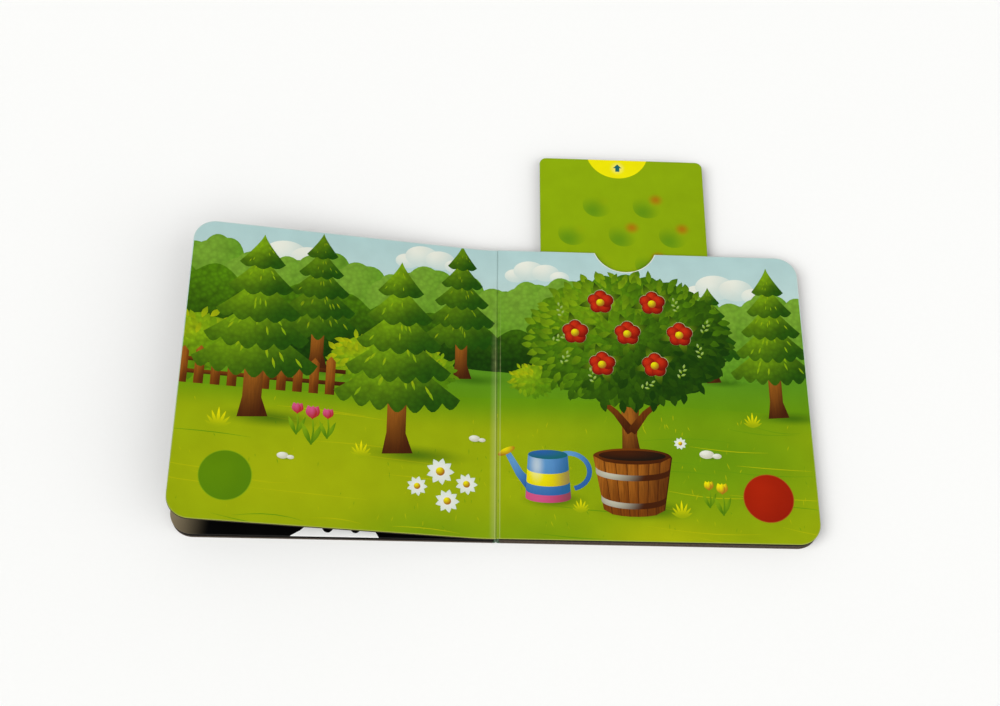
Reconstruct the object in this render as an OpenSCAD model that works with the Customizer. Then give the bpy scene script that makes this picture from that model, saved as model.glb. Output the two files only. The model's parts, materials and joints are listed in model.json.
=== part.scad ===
// Square board book that lies open: a raised leaf on the left,
// a pull card in a pocket with flower windows on the right.

/* [Pages] */
// Width of a page from the gutter to its outer edge
page_w = 170; // [155:1:190]
// Height of a page
page_h = 170; // [160:1:190]
// Radius of the outer corners of the pages and covers
corner_r = 12; // [6:0.5:20]
// Thickness of one board leaf
leaf_t = 1.2; // [0.9:0.1:1.6]
// Leaves glued together under the pocket
right_leaves = 3; // [2:1:5]
// Leaves glued together under the raised leaf
left_leaves = 3; // [2:1:5]
// How far the left-hand boards stop short of the page width
left_setback = 2; // [0:0.5:5]
// Width of the fine gap between two leaves at their edges
leaf_gap = 0.15; // [0.1:0.05:0.3]
// Depth of that gap
leaf_gap_depth = 0.8; // [0.4:0.1:1.5]

/* [Covers] */
// Thickness of a cover board
cover_t = 1.7; // [1.2:0.1:2.4]
// Thickness of the spine flap that folds up from each cover
spine_t = 1; // [0.6:0.1:1.4]
// Outer radius of the fold between a cover and its spine flap
fold_r = 1.5; // [0.8:0.1:2]
// Gap between the two halves at the gutter
gutter_gap = 0.3; // [0.2:0.05:0.6]

/* [Raised leaf] */
// Thickness of the raised leaf
raised_t = 1.9; // [1.2:0.1:2.4]
// Angle at which the leaf stands up from the left-hand pages
raised_angle = 9.1; // [4:0.1:14]
// Width of the strip glued down along the gutter
root_w = 3; // [2:0.5:6]
// Length over which the leaf bends up
bend_len = 10; // [6:1:16]

/* [Pull card] */
// Width of the card
card_w = 95.5; // [70:0.5:105]
// Thickness of the card
card_t = 0.8; // [0.5:0.1:1.2]
// Distance of the card's centre line from the gutter
card_x = 72; // [70:1:80]
// How far the card is pulled out above the page
pull_out = 63.5; // [50:0.5:66]
// Radius of the card's upper corners
card_corner_r = 4; // [2:0.5:8]
// How far the stop ears stand out on each side
ear_w = 5; // [3:0.5:8]
// Height of the stop ears
ear_h = 8; // [5:0.5:12]

/* [Pocket] */
// Thickness of the page over the pocket
window_page_t = 1.1; // [0.8:0.1:1.6]
// Height of the band that closes the pocket at the bottom
bottom_band = 16; // [10:1:20]
// Clearance over and under the card
card_play = 0.15; // [0.1:0.05:0.3]
// Clearance beside the card and its ears
side_play = 0.3; // [0.2:0.1:0.6]
// Clearance between the ears and their stop when the card is out
stop_play = 0.3; // [0.2:0.1:0.6]
// Clearance below the card when it is in
end_play = 1; // [0.5:0.5:3]
// Width of the thumb notch along the page's upper edge
notch_w = 34; // [24:1:40]
// Depth of the thumb notch
notch_depth = 11.7; // [6:0.1:16]

/* [Flower windows] */
// Windows in the ring around the middle one
ring_count = 6; // [4:1:7]
// Half the width of the ring
ring_rx = 29; // [24:1:34]
// Half the height of the ring
ring_ry = 22; // [19:1:24]
// Distance of the ring's centre below the page's upper edge
ring_drop = 50; // [44:1:54]
// Petals of a flower
petal_count = 5; // [5:1:7]
// Radius of a petal
petal_r = 3.6; // [3:0.1:4]
// Distance of a petal's centre from the flower's centre
petal_reach = 3.8; // [3:0.1:4.2]
// Radius of the flower's middle
flower_eye_r = 3; // [2.5:0.1:3.5]

/* [Hidden] */
$fn = 96;

// How far a cutter runs past the face that it cuts
cut_over = 1;

// Heights of the right-hand stack, from the table up
right_block_t = right_leaves * leaf_t;
pocket_t = card_t + 2 * card_play;
pocket_z = cover_t + right_block_t;
window_z = pocket_z + pocket_t;

// Heights of the left-hand stack
left_block_t = left_leaves * leaf_t;
root_z = cover_t + left_block_t;

// Places across the book, from the middle of the gutter
gutter_x = gutter_gap / 2;
block_x = gutter_x + spine_t;
left_w = page_w - left_setback;

// Places along the book, from the middle of a page
page_top = page_h / 2;
band_top = -page_top + bottom_band;
card_l = page_h - bottom_band - end_play;
card_low = page_top + pull_out - card_l;
ear_stop = card_low + ear_h + stop_play;

// Circle that cuts the thumb notch and the arc's centre above the page's edge
notch_r = (notch_w * notch_w / 4 + notch_depth * notch_depth) / (2 * notch_depth);
notch_y = page_top + notch_r - notch_depth;

// Bend of the raised leaf: radius of its upper face, and where its flat part starts
bend_steps = 8;
bend_r = bend_len * 180 / (PI * raised_angle);
bend_x = -gutter_x - root_w;
bend_z = root_z + raised_t + bend_r;
flat_x = bend_x - bend_r * sin(raised_angle);
flat_z = bend_z - bend_r * cos(raised_angle);
flat_w = left_w - gutter_x - root_w - bend_len;

// Points of an arc of the bend, from the glued strip to the flat part
function bend_arc(r) = [
    for (i = [0 : bend_steps])
        let (turn = raised_angle * i / bend_steps)
        [bend_x - r * sin(turn), bend_z - r * cos(turn)]
];

// Point of the flat part, a depth below its upper face
function flat_point(along, depth) = [
    flat_x - along * cos(raised_angle) - depth * sin(raised_angle),
    flat_z + along * sin(raised_angle) - depth * cos(raised_angle)
];

// Section of the raised leaf across the book
leaf_section = concat(
    [[-gutter_x, root_z], [-gutter_x, root_z + raised_t]],
    bend_arc(bend_r),
    [flat_point(flat_w, 0), flat_point(flat_w, raised_t)],
    [for (i = [bend_steps : -1 : 0]) bend_arc(bend_r + raised_t)[i]]
);

// Centres of the flower windows: one in the middle of a ring
ring_y = page_top - ring_drop;
flower_centres = concat(
    [[card_x, ring_y]],
    [for (i = [0 : ring_count - 1])
        let (turn = i * 360 / ring_count)
        [card_x + ring_rx * cos(turn), ring_y + ring_ry * sin(turn)]]
);

// Board colours
print_lime = [0.57, 0.65, 0.05];
print_green = [0.38, 0.56, 0.08];
card_green = [0.53, 0.65, 0.08];
board_grey = [0.37, 0.34, 0.29];
cover_dark = [0.13, 0.16, 0.12];

// Moves the book so that its box stands on the origin
module place() {
    translate([(left_w - page_w) / 2, -pull_out / 2, 0]) children();
}

// Turns a right-hand piece into a left-hand one
module left_hand() {
    mirror([1, 0, 0]) children();
}

// Outline of a board: square corners at the gutter, round ones outside
module board_shape(x0, x1, inset = 0) {
    r = corner_r - inset;
    top = page_top - inset;
    right = x1 - inset;
    translate([x0, -top]) square([right - r - x0, 2 * top]);
    translate([x0, -top + r]) square([right - x0, 2 * (top - r)]);
    for (side = [-1, 1]) {
        translate([right - r, side * (top - r)]) circle(r);
    }
}

// Corner that the fold of a cover rounds away
module fold_corner() {
    translate([gutter_x, 0, 0]) difference() {
        translate([-cut_over, -page_top - cut_over, -cut_over])
            cube([fold_r + cut_over, page_h + 2 * cut_over, fold_r + cut_over]);
        translate([fold_r, 0, fold_r]) rotate([90, 0, 0])
            cylinder(r = fold_r, h = page_h + 4 * cut_over, center = true);
    }
}

// Cover board with its half of the spine folded up along the gutter
module cover(x1, flap_z) {
    difference() {
        union() {
            linear_extrude(cover_t) board_shape(gutter_x, x1);
            translate([gutter_x, -page_top, 0]) cube([spine_t, page_h, flap_z]);
        }
        fold_corner();
    }
}

// Glued leaves: one block with a fine gap between leaves along its edges
module leaf_block(x1, leaves) {
    difference() {
        linear_extrude(leaves * leaf_t) board_shape(block_x, x1);
        for (i = [1 : leaves - 1]) {
            translate([0, 0, i * leaf_t - leaf_gap / 2]) linear_extrude(leaf_gap) difference() {
                board_shape(block_x - cut_over, x1, -cut_over);
                board_shape(block_x - 2 * cut_over, x1, leaf_gap_depth);
            }
        }
    }
}

// Outline of one flower window
module flower_shape() {
    circle(flower_eye_r);
    for (i = [0 : petal_count - 1]) {
        rotate(90 + i * 360 / petal_count) translate([petal_reach, 0]) circle(petal_r);
    }
}

// Strip across the pocket, wider than what runs in it by the side clearance
module channel_shape(w, y0, y1) {
    translate([card_x - w / 2 - side_play, y0]) square([w + 2 * side_play, y1 - y0]);
}

module back_cover() {
    color(cover_dark) place() cover(page_w, window_z);
}

module right_pages() {
    color(board_grey) place() translate([0, 0, cover_t]) leaf_block(page_w, right_leaves);
}

// Frame between the last leaf and the window page, open at the top for the card
module pocket_spacer() {
    color(board_grey) place() translate([0, 0, pocket_z]) linear_extrude(pocket_t) difference() {
        board_shape(block_x, page_w);
        channel_shape(card_w, ear_stop - cut_over, page_top + cut_over);
        channel_shape(card_w + 2 * ear_w, band_top, ear_stop);
    }
}

// Top page with the thumb notch and the flower windows
module window_page() {
    color(print_green) place() translate([0, 0, window_z]) linear_extrude(window_page_t) difference() {
        board_shape(gutter_x, page_w);
        translate([card_x, notch_y]) circle(notch_r);
        for (centre = flower_centres) {
            translate(centre) flower_shape();
        }
    }
}

// Card that slides in the pocket, with ears that stop it at the top of its travel
module pull_card() {
    color(card_green) place() translate([card_x, card_low, pocket_z + card_play]) linear_extrude(card_t) {
        translate([-card_w / 2, 0]) square([card_w, card_l - card_corner_r]);
        translate([-card_w / 2 + card_corner_r, 0]) square([card_w - 2 * card_corner_r, card_l]);
        for (side = [-1, 1]) {
            translate([side * (card_w / 2 - card_corner_r), card_l - card_corner_r]) circle(card_corner_r);
        }
        translate([-card_w / 2 - ear_w, 0]) square([card_w + 2 * ear_w, ear_h]);
    }
}

module front_cover() {
    color(cover_dark) place() left_hand() cover(left_w, root_z);
}

module left_pages() {
    color(board_grey) place() left_hand() translate([0, 0, cover_t]) leaf_block(left_w, left_leaves);
}

// Leaf glued down along the gutter, bent up and then flat to its outer edge
module raised_leaf() {
    color(print_lime) place() intersection() {
        translate([0, page_top, 0]) rotate([90, 0, 0]) linear_extrude(page_h) polygon(leaf_section);
        translate([flat_x, 0, flat_z]) rotate([0, raised_angle, 0]) left_hand()
            linear_extrude(page_h, center = true) board_shape(-page_w, flat_w);
    }
}

back_cover();
right_pages();
pocket_spacer();
window_page();
pull_card();
front_cover();
left_pages();
raised_leaf();
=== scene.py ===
"""Dresses an open pull-tab board book: printed boards, leaf edges, covers and a studio stage."""

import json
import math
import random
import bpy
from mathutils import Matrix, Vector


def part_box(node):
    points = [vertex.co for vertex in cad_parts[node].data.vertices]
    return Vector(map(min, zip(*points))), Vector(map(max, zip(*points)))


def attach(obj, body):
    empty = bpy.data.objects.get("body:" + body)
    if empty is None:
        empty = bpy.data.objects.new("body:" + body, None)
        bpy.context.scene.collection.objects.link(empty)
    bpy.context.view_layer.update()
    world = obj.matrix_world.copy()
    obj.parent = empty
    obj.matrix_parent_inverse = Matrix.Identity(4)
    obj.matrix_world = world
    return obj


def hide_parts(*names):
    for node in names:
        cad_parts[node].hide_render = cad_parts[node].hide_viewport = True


bl_info = {
    "name": "Pull-tab board book",
    "version": (1, 0, 0),
    "blender": (4, 5, 0),
    "location": "View3D > Sidebar > Book",
    "description": "Printed boards, leaf edges and covers of an open board book, on a studio stage",
    "category": "Object",
}

from dataclasses import dataclass

import bpy
from bpy.props import FloatProperty, FloatVectorProperty, IntProperty, PointerProperty
from mathutils import Matrix, Vector
from mathutils.geometry import delaunay_2d_cdt

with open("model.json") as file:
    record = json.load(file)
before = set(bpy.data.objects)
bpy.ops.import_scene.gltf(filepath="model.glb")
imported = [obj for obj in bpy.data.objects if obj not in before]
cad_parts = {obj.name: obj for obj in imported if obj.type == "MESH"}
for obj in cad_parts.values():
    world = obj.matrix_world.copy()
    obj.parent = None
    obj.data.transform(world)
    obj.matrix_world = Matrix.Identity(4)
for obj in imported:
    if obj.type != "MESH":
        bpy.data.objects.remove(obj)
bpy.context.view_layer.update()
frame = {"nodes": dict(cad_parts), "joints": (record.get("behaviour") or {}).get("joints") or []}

MM = 0.001

# The book's own place in the frame: page millimetres count from the gutter and the page's middle
HINGE = next(joint for joint in frame["joints"] if joint["name"] == "front_cover_hinge")
GUTTER_X, PAGE_MID_Y, _ = HINGE["pos_m"]


def node_edge(node, axis, end):
    """One face of a node's box, in page millimetres."""
    zero = (GUTTER_X, PAGE_MID_Y, 0.0)[axis]
    return (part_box(node)[end][axis] - zero) / MM


PAGE_W = node_edge("window_page", 0, 1)
PAGE_TOP = node_edge("window_page", 1, 1)
WINDOW_TOP = node_edge("window_page", 2, 1)
WINDOW_LOW = node_edge("window_page", 2, 0)
GUTTER_EDGE = node_edge("window_page", 0, 0)
LEFT_W = -node_edge("left_pages", 0, 0)
BLOCK_EDGE = node_edge("right_pages", 0, 0)
LEFT_TOP = node_edge("left_pages", 2, 1)
CARD_LOW_Y = node_edge("pull_card", 1, 0)
CARD_TOP_Y = node_edge("pull_card", 1, 1)
CARD_LOW = node_edge("pull_card", 2, 0)
CARD_TOP = node_edge("pull_card", 2, 1)
CARD_X = (node_edge("pull_card", 0, 0) + node_edge("pull_card", 0, 1)) / 2
PULL_OUT = CARD_TOP_Y - PAGE_TOP

# A board's side this near to the gutter is wrapped by the spine, not cut
FOLD_ZONE = 2.0

# The printed sheet's fold that closes the gutter
FOLD_PLAY = 0.02
FOLD_DEPTH = 0.45
FOLD_THICKNESS = 0.5

# How far a print runs past its board
BLEED = 5.0

# Steps of the round stretches: corners, the notch, a window's petal, a lip and the raised leaf's bend
CORNER_STEPS = 14
CARD_CORNER_STEPS = 8
NOTCH_STEPS = 28
PETAL_STEPS = 12
LIP_STEPS = 3
BEND_STEPS = 8

# A lip reaches no further at a corner than this times its size
LIP_REACH = 1.4

# Points nearer than this are one point
WELD = 1e-4

# Faces that meet at a larger angle show an edge
SHARP_DEGREES = 8


def linear(rgb):
    """A display colour of 0 to 255 as the linear colour that a shader takes."""
    parts = [value / 255 for value in rgb]
    return tuple(v / 12.92 if v <= 0.04045 else ((v + 0.055) / 1.055) ** 2.4 for v in parts)


def blend(low, high, amount):
    """A colour between two others."""
    return tuple(a + (b - a) * amount for a, b in zip(low, high))


def tint(ink, amount):
    """A lighter or darker tone of a colour."""
    return [amount * value for value in ink]


def length(title, what, millimetres):
    """A size that a user may change, kept in metres."""
    return FloatProperty(name=title, description=what, default=millimetres * MM, min=0.0, unit="LENGTH")


def colour(title, what, *rgb):
    """A print or board colour that a user may change."""
    return FloatVectorProperty(
        name=title, description=what, subtype="COLOR", size=3, min=0.0, max=1.0, default=linear(rgb)
    )


class BookSizes(bpy.types.PropertyGroup):
    """Sizes of the boards, as the solids have them, and of their fine edges."""

    corner: length("Corner", "Radius of the boards' outer corners", 12)
    lip: length("Lip", "Rounding of a cut board's edge", 0.2)
    window_lip: length("Window lip", "Rounding of a window's edge, where the board shows bare", 0.4)
    root: length("Root", "Strip of the raised leaf that is glued down at the gutter", 3)
    bend: length("Bend", "Length over which the raised leaf bends up", 10)
    raised: length("Raised leaf", "Thickness of the raised leaf", 1.9)
    rise: FloatProperty(
        name="Rise", description="Angle of the raised leaf", default=math.radians(9.1), subtype="ANGLE"
    )
    leaf: length("Leaf", "Thickness of one leaf of a block", 1.2)
    leaf_gap: length("Leaf gap", "Air between two leaves of a block", 0.15)
    leaf_shift: length("Leaf shift", "How far a leaf may lie out of line with the others", 0.25)
    card_corner: length("Card corner", "Radius of the pull card's upper corners", 4)
    ear: length("Ear", "How far the card's stop ears stand out", 5)
    ear_height: length("Ear height", "Height of the card's stop ears", 8)
    notch_width: length("Notch width", "Width of the thumb notch at the page's edge", 34)
    notch_depth: length("Notch depth", "Depth of the thumb notch", 11.7)
    ring_width: length("Ring half width", "Half the width of the ring of windows", 29)
    ring_height: length("Ring half height", "Half the height of the ring of windows", 22)
    ring_drop: length("Ring drop", "Ring's centre below the page's upper edge", 50)
    ring_count: IntProperty(name="Ring count", description="Windows in the ring", default=6, min=3)
    petals: IntProperty(name="Petals", description="Petals of a flower window", default=5, min=3)
    petal: length("Petal", "Radius of a window's petal", 3.6)
    petal_reach: length("Petal reach", "Petal's centre from the flower's centre", 3.8)
    disc: length("Disc", "Radius of the plain colour discs", 13.5)


class BookInks(bpy.types.PropertyGroup):
    """Printing inks and board colours. Some cut edges are darkened with painted shade, and the black
    page's margin has painted light.
    """

    sky: colour("Sky", "Upper sky", 172, 203, 201)
    haze: colour("Haze", "Sky near the hills", 194, 212, 205)
    cloud: colour("Cloud", "Clouds and petals", 228, 230, 216)
    hill: colour("Hill", "Middle hills", 84, 138, 24)
    far_hill: colour("Far hill", "Hills under the sky", 112, 154, 44)
    lime: colour("Lime", "Foreground meadow", 148, 166, 3)
    lime_light: colour("Light lime", "Sunlit meadow", 172, 178, 4)
    meadow: colour("Meadow", "Meadow towards the hills", 98, 144, 5)
    grass_dark: colour("Dark grass", "Shadows on the meadow", 52, 98, 4)
    leaf_dark: colour("Dark leaf", "Inner leaves", 20, 56, 2)
    leaf_mid: colour("Middle leaf", "Leaves in half light", 76, 122, 4)
    leaf_light: colour("Light leaf", "Leaves in the sun", 124, 160, 10)
    fir_dark: colour("Dark fir", "Fir boughs in shade", 20, 68, 4)
    fir_light: colour("Light fir", "Fir boughs in the sun", 120, 160, 10)
    bark_dark: colour("Dark wood", "Wood in shade", 66, 28, 4)
    bark: colour("Wood", "Trunks, tub and fence", 112, 56, 6)
    bark_light: colour("Light wood", "Wood in the sun", 156, 92, 24)
    red: colour("Red", "Red disc and flowers", 166, 32, 2)
    red_light: colour("Light red", "Lit petals", 198, 46, 14)
    red_dark: colour("Dark red", "Edge of the red field", 132, 18, 2)
    disc_green: colour("Disc green", "Plain green disc", 92, 134, 0)
    card: colour("Card green", "Upper field of the pull card", 134, 163, 3)
    card_spot: colour("Card spot", "Soft spots on the pull card", 92, 140, 12)
    blush: colour("Blush", "Warm touch on the card's spots", 176, 84, 4)
    yellow: colour("Yellow", "Tab, stripe and tulips", 236, 226, 0)
    teal: colour("Teal", "Arrow on the tab", 24, 98, 100)
    blue: colour("Blue", "Watering can", 40, 92, 156)
    blue_light: colour("Light blue", "Lit side of the can", 92, 148, 196)
    pink: colour("Pink", "Small flowers", 206, 84, 130)
    pebble: colour("Pebble", "Stones in the grass", 196, 194, 172)
    soil: colour("Soil", "Soil in the tub", 25, 18, 10)
    night: colour("Night", "Black page under the raised leaf", 3, 3, 3)
    snow: colour("Snow", "White bank on the black page", 255, 255, 252)
    # Painted light: where light falls in under the raised leaf's outer edge
    lit_night_margin: colour("Night grey", "Margin of the black page", 190, 172, 136)
    core_pale: colour("Pale core", "White lining that shows at a window's lip", 178, 168, 128)
    # Darkened with painted shade of the gap under a page's lip, over the cut board's own colour
    shaded_wall_tone: colour("Cut wall", "Cut edge of a printed board", 60, 53, 37)
    core_grey: colour("Grey core", "Cut edge of grey board", 90, 78, 66)
    # Painted shade: near-black cut edges for the shade deep in the left stack and in the pocket's gap
    deep_shade_tone: colour("Dark core", "Cut edge in the depth of a stack", 30, 27, 22)
    cover: colour("Cover", "Outside of the covers", 34, 72, 38)
    floor: colour("Floor", "Studio floor", 244, 244, 242)


def sizes():
    """The book's sizes."""
    return bpy.context.scene.book_sizes


def inks():
    """The book's inks."""
    return bpy.context.scene.book_inks


# Node trees


class Wire:
    """An output socket in a node tree. Arithmetic on it adds Math nodes."""

    def __init__(self, graph, socket):
        self.graph = graph
        self.socket = socket

    def __add__(self, other):
        return self.graph.math("ADD", self, other)

    def __sub__(self, other):
        return self.graph.math("SUBTRACT", self, other)

    def __rsub__(self, other):
        return self.graph.math("SUBTRACT", other, self)

    def __mul__(self, other):
        return self.graph.math("MULTIPLY", self, other)

    def __gt__(self, other):
        return self.graph.math("GREATER_THAN", self, other)

    def __abs__(self):
        return self.graph.math("ABSOLUTE", self)

    __radd__ = __add__
    __rmul__ = __mul__


class Graph:
    """A node tree, with one method that adds any node to it."""

    def __init__(self, tree):
        self.tree = tree

    def plug(self, socket, value):
        """Links a wire to a socket, or sets a plain value on it."""
        if isinstance(value, Wire):
            self.tree.links.new(value.socket, socket)
        else:
            socket.default_value = value

    def add(self, kind, settings, values, out=0):
        """Adds a node: its settings first, then its sockets' values or links."""
        node = self.tree.nodes.new(kind)
        for key, value in settings.items():
            setattr(node, key, value)
        for key, value in values.items():
            for wire in value if isinstance(value, list) else [value]:
                self.plug(node.inputs[key], wire)
        return Wire(self, node.outputs[out]) if node.outputs else None

    def attribute(self, name, out="Vector"):
        """A named attribute of the mesh."""
        return self.add("ShaderNodeAttribute", {"attribute_name": name}, {}, out)

    def math(self, operation, *values):
        """A Math node on numbers or wires."""
        return self.add("ShaderNodeMath", {"operation": operation}, dict(enumerate(values)))

    def vector(self, operation, *values, out=0):
        """A Vector Math node on vectors or wires."""
        return self.add("ShaderNodeVectorMath", {"operation": operation}, dict(enumerate(values)), out)

    def scaled(self, vector, amount):
        """A vector or colour times a number."""
        return self.add("ShaderNodeVectorMath", {"operation": "SCALE"}, {0: vector, "Scale": amount})

    def part(self, vector, axis):
        """One part of a vector."""
        return self.add("ShaderNodeSeparateXYZ", {}, {0: vector}, axis)

    def surface(self, out):
        """A texture coordinate of the object."""
        return self.add("ShaderNodeTexCoord", {}, {}, out)

    def millimetres(self):
        """Place on the object, in millimetres."""
        return self.scaled(self.surface("Object"), 1 / MM)

    def mix(self, amount, first, second):
        """A mix of two colours."""
        ends = [value if isinstance(value, Wire) else (*value[:3], 1.0) for value in (first, second)]
        return self.add("ShaderNodeMix", {"data_type": "RGBA"}, {0: amount, 6: ends[0], 7: ends[1]}, 2)

    def ease(self, value, low=0.0, high=1.0):
        """A smooth step from 0 at low to 1 at high."""
        settings = {"interpolation_type": "SMOOTHSTEP"}
        values = {"Value": value, "From Min": low, "From Max": high}
        return self.add("ShaderNodeMapRange", settings, values)

    def noise(self, place, scale, detail=2.0, stretch=(1.0, 1.0, 1.0)):
        """Noise over a place, stretched along its axes."""
        stretched = self.vector("MULTIPLY", place, stretch)
        values = {"Vector": stretched, "Scale": scale, "Detail": detail}
        return self.add("ShaderNodeTexNoise", {}, values)


# Finishes

# Attributes that hold the glazes over a field of ink
GLAZES = ("glaze_a", "glaze_b", "glaze_c", "glaze_d", "glaze_e")

# How much light the ink gives back, and how much its lamination mirrors
PRINT_DENSITY = 0.93
PRINT_SHINE = 0.12

# Relief of all finishes
BUMP_DEPTH = 0.04 * MM

# The printed frame line of a cover: how far from the edge, and half its width, in millimetres
COVER_FRAME = 6.0
COVER_LINE = 0.6

# The back cover's flower against the front cover's
BACK_FLOWER = 0.35


class Finish(Graph):
    """A material and its Principled surface."""

    def __init__(self, name):
        self.material = bpy.data.materials.new(name)
        self.material.use_nodes = True
        super().__init__(self.material.node_tree)

    def done(self, base, roughness, height, strength, shine):
        """Feeds the surface and returns the material."""
        surface = self.tree.nodes["Principled BSDF"].inputs
        bump = {"Height": height, "Strength": strength, "Distance": BUMP_DEPTH}
        self.plug(surface["Base Color"], base)
        self.plug(surface["Roughness"], roughness)
        self.plug(surface["Normal"], self.add("ShaderNodeBump", {}, bump))
        surface["Specular IOR Level"].default_value = shine
        return self.material

    def laminated(self, base, roughness, place):
        """The finish under a thin film, with a faint grain."""
        return self.done(base, roughness, self.noise(place, 0.9), strength=0.05, shine=PRINT_SHINE)

    def fibres(self, place, layers):
        """Pressed fibre in fine layers."""
        return self.noise(place, 0.9, 4.0, (1.0, 1.0, layers))


def printed_board():
    """Satin laminated print: fields of ink with soft shading, glazes and a brushed texture."""
    s = Finish("printed_board")
    place = s.attribute("page")

    def falloff(name):
        away = s.vector("SUBTRACT", place, s.attribute(name + "_spot"))
        formed = s.vector("MULTIPLY", away, s.attribute(name + "_form"))
        return s.ease(s.vector("LENGTH", formed, out="Value"))

    ink = s.mix(falloff("ink"), s.attribute("ink", "Color"), s.attribute("shade", "Color"))
    for name in GLAZES:
        amount = s.attribute(name, "Alpha") * (1 - falloff(name))
        ink = s.mix(amount, ink, s.attribute(name, "Color"))
    dabs = {"Vector": place, "Scale": 0.42, "Smoothness": 0.4}
    cells = s.add("ShaderNodeTexVoronoi", {"feature": "SMOOTH_F1"}, dabs)
    wash = s.noise(place, 0.07, 4.0)
    bristle = s.noise(place, 0.8, 3.0, (1.6, 0.12, 1.0))
    leafy = s.attribute("ink", "Alpha") * (0.55 - cells)
    streak = s.attribute("shade", "Alpha") * (bristle - 0.5)
    light = PRINT_DENSITY + leafy * 0.8 + streak * 1.4 + (wash - 0.5) * 0.2
    gloss = 0.33 + (wash - 0.5) * 0.12
    return s.laminated(s.scaled(ink, light), gloss, place)


def cut_board(name, pale, depth, layers):
    """Cut board edge, paler and darker along its fibre."""
    s = Finish(name)
    place = s.millimetres()
    fibre = s.fibres(place, layers)
    speck = s.noise(place, 5.0)
    shade = s.ease(fibre * 0.75 + speck * 0.25, 0.36, 0.66)
    base = s.mix(shade, tint(pale, depth), pale)
    return s.done(base, roughness=0.86, height=fibre, strength=0.4, shine=0.1)


def cover_board(name, centre, half, scale):
    """Laminated cover: a framed flower on a plain ground outside, bare grey board elsewhere."""
    s = Finish(name)
    ink = inks()
    place = s.millimetres()
    wash = s.noise(place, 0.05, 4.0)
    brush = s.noise(place, 0.5, 3.0, (0.2, 1.4, 1.0))
    flat = s.vector("MULTIPLY", s.vector("SUBTRACT", place, centre), (1.0, 1.0, 0.0))
    away = s.scaled(flat, 1 / scale)
    reach = s.vector("LENGTH", away, out="Value")
    turn = s.math("ARCTAN2", s.part(away, "Y"), s.part(away, "X"))
    wrap = s.mix(wash, tint(ink.cover, 0.8), tint(ink.cover, 1.2))

    corner = sizes().corner / MM
    inner = [side - COVER_FRAME - corner for side in half]
    beyond = s.vector("SUBTRACT", s.vector("ABSOLUTE", flat), (*inner, 0.0))
    outside = s.vector("LENGTH", s.vector("MAXIMUM", beyond, (0.0, 0.0, 0.0)), out="Value")
    offset = outside - corner
    line = s.ease(COVER_LINE - abs(offset), -0.15, 0.15)
    wrap = s.mix(line, wrap, ink.leaf_light)

    def petals(under, count, phase, low, high, light, dark):
        swell = abs(s.math("COSINE", turn * (count / 2) + phase))
        mask = s.ease(low + swell * (high - low) - reach, -0.3, 0.3)
        lit = s.ease(swell * s.ease(reach, 0.2 * low, 1.1 * low) + (brush - 0.5) * 0.5, 0.05, 0.85)
        return s.mix(mask, under, s.mix(lit, dark, light))

    # A pale disc, then rings of petals: their count, turn, least and greatest reach, and tones
    for layer in (
        (0, 0.0, 60, 60, ink.haze, ink.cloud),
        (8, 0.4, 24, 50, ink.leaf_light, ink.leaf_dark),
        (5, 0.0, 22, 36, ink.red_light, ink.red_dark),
        (12, 0.0, 9, 12, ink.yellow, ink.bark_light),
    ):
        wrap = petals(wrap, *layer)
    bare = s.ease(s.part(s.surface("Normal"), "Z"), -0.5, -0.25)
    inward = s.part(place, "X") - GUTTER_X / MM
    edge = bare * s.ease(abs(inward), FOLD_ZONE - 0.1, FOLD_ZONE)
    fibre = s.ease(s.fibres(place, 6.0), 0.36, 0.66)
    core = s.mix(fibre, tint(ink.core_grey, 0.55), ink.core_grey)
    gloss = 0.36 + edge * 0.45 + (wash - 0.5) * 0.1
    return s.laminated(s.mix(edge, wrap, core), gloss, place)


def floor_finish():
    """Pale studio paper with a faint tooth."""
    s = Finish("floor_paper")
    tooth = s.noise(s.millimetres(), 0.42)
    pale = inks().floor
    base = s.mix(tooth, tint(pale, 0.985), pale)
    return s.done(base, roughness=0.9, height=tooth, strength=0.05, shine=0.2)


def board_material(name):
    """One of the book's materials, made when it is first asked for."""
    found = bpy.data.materials.get(name)
    if found:
        return found
    ink = inks()
    middle = PAGE_MID_Y / MM
    front = (GUTTER_X / MM - LEFT_W / 2, middle, 0.0)
    back = (GUTTER_X / MM + PAGE_W / 2, middle, 0.0)
    makers = {
        "printed_board": printed_board,
        "pale_core": lambda: cut_board("pale_core", ink.core_pale, 0.6, 3.0),
        "shaded_cut_edge": lambda: cut_board("shaded_cut_edge", ink.shaded_wall_tone, 0.6, 3.0),
        "grey_core": lambda: cut_board("grey_core", ink.core_grey, 0.5, 5.0),
        "deep_shade_edge": lambda: cut_board("deep_shade_edge", ink.deep_shade_tone, 0.4, 5.0),
        "front_wrap": lambda: cover_board("front_wrap", front, (LEFT_W / 2, PAGE_TOP), 1.0),
        "back_wrap": lambda: cover_board("back_wrap", back, (PAGE_W / 2, PAGE_TOP), BACK_FLOWER),
        "floor_paper": floor_finish,
    }
    return makers[name]()


def printed_materials(wall):
    """Materials of a printed board, in the order of its slots."""
    return [board_material(name) for name in ("printed_board", "pale_core", wall, "front_wrap")]


# Outlines, in page millimetres


def arc(cx, cy, rx, ry, start, end, steps):
    """Points of an elliptic arc, angles in degrees."""
    turns = [math.radians(start + (end - start) * i / steps) for i in range(steps + 1)]
    return [(cx + rx * math.cos(turn), cy + ry * math.sin(turn)) for turn in turns]


def ellipse(cx, cy, rx, ry=None, steps=32):
    """A closed ellipse or circle."""
    return arc(cx, cy, rx, rx if ry is None else ry, 0, 360, steps)[:-1]


def rectangle(x0, y0, x1, y1):
    """A rectangle, counter-clockwise."""
    return [(x0, y0), (x1, y0), (x1, y1), (x0, y1)]


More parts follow.
